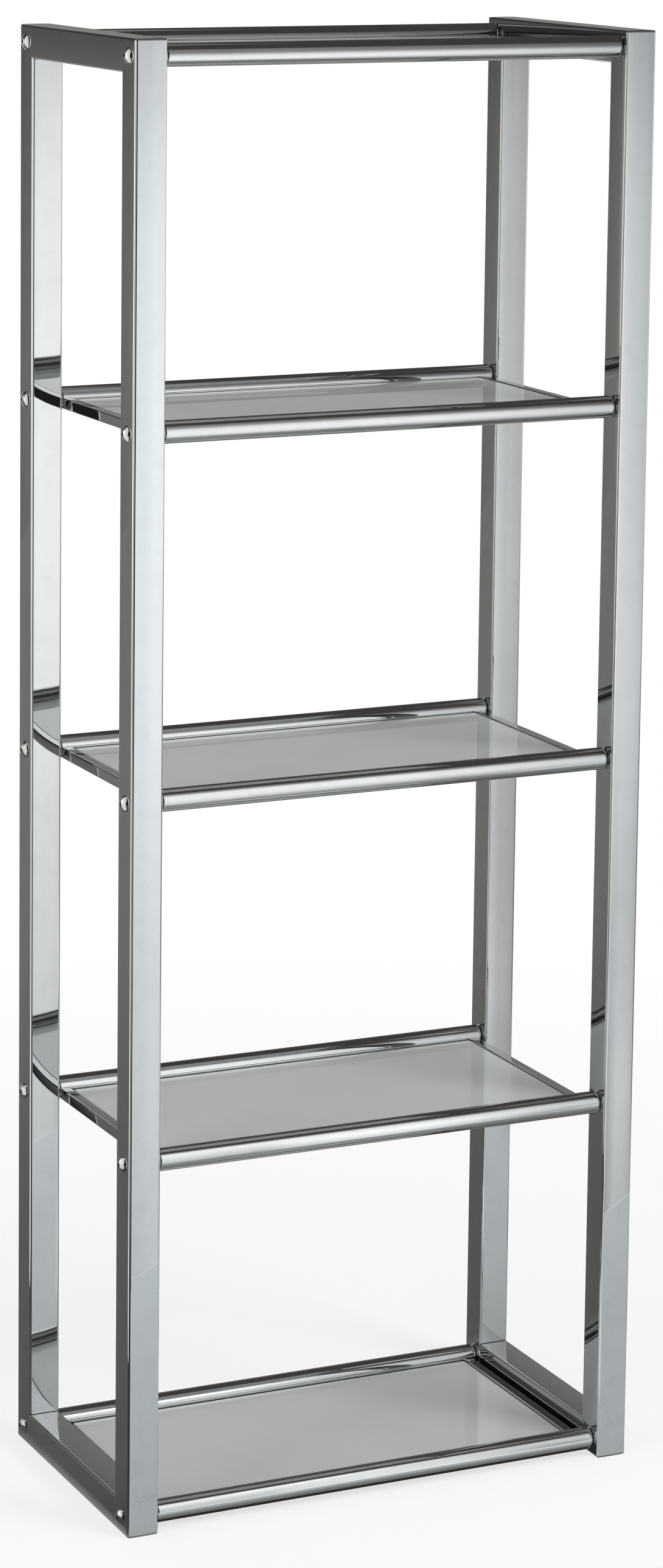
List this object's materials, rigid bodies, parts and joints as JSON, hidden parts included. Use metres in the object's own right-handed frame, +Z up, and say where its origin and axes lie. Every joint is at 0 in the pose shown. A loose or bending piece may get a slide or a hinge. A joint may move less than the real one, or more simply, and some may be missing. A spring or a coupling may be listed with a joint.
{
  "type": "shelving unit",
  "caption": "Tall free-standing etagere: two square-tube side frames joined by round rails, with a loose glass panel lying level between the rails of every tier.",
  "frame": {"origin": "middle of the footprint, on the floor", "axes": "+Z up, -Y towards the front, +X towards the right side frame"},
  "size_m": [0.6444, 0.3302, 1.6637],
  "materials": {
    "chromed_tube": "polished chrome plate on square steel tube",
    "chromed_rail": "polished chrome plate on round and small square steel tube",
    "satin_glass": "light grey glass, glossy above and satin below",
    "plated_bolt": "bright chrome plate",
    "plain_steel": "dull plated steel",
    "clear_vinyl": "clear soft vinyl"
  },
  "bodies": {
    "frame": {"left_front_post": "chromed_tube", "left_rear_post": "chromed_tube", "left_top_member": "chromed_tube", "left_bottom_member": "chromed_tube", "right_front_post": "chromed_tube", "right_rear_post": "chromed_tube", "right_top_member": "chromed_tube", "right_bottom_member": "chromed_tube", "front_rail_1": "chromed_rail", "front_rail_2": "chromed_rail", "front_rail_3": "chromed_rail", "front_rail_4": "chromed_rail", "front_rail_5": "chromed_rail", "rear_rail_1": "chromed_rail", "rear_rail_2": "chromed_rail", "rear_rail_3": "chromed_rail", "rear_rail_4": "chromed_rail", "rear_rail_5": "chromed_rail", "left_end_bar_1": "chromed_rail", "left_end_bar_2": "chromed_rail", "left_end_bar_3": "chromed_rail", "left_end_bar_4": "chromed_rail", "left_end_bar_5": "chromed_rail", "right_end_bar_1": "chromed_rail", "right_end_bar_2": "chromed_rail", "right_end_bar_3": "chromed_rail", "right_end_bar_4": "chromed_rail", "right_end_bar_5": "chromed_rail", "left_frame_bolts": "plated_bolt", "right_frame_bolts": "plated_bolt", "front_rail_plugs": "plain_steel", "rear_rail_plugs": "plain_steel", "left_shelf_lugs": "plain_steel", "right_shelf_lugs": "plain_steel", "glass_pads": "clear_vinyl"},
    "glass_panel_1": {"glass_shelf_1": "satin_glass"},
    "glass_panel_2": {"glass_shelf_2": "satin_glass"},
    "glass_panel_3": {"glass_shelf_3": "satin_glass"},
    "glass_panel_4": {"glass_shelf_4": "satin_glass"},
    "glass_panel_5": {"glass_shelf_5": "satin_glass"}
  },
  "joints": [
    {"name": "glass_lift_1", "type": "slide", "parent": "frame", "child": "glass_panel_1", "axis": [0, 0, 1], "range_m": [0, 0.05]},
    {"name": "glass_lift_2", "type": "slide", "parent": "frame", "child": "glass_panel_2", "axis": [0, 0, 1], "range_m": [0, 0.05]},
    {"name": "glass_lift_3", "type": "slide", "parent": "frame", "child": "glass_panel_3", "axis": [0, 0, 1], "range_m": [0, 0.05]},
    {"name": "glass_lift_4", "type": "slide", "parent": "frame", "child": "glass_panel_4", "axis": [0, 0, 1], "range_m": [0, 0.05]},
    {"name": "glass_lift_5", "type": "slide", "parent": "frame", "child": "glass_panel_5", "axis": [0, 0, 1], "range_m": [0, 0.05]}
  ]
}
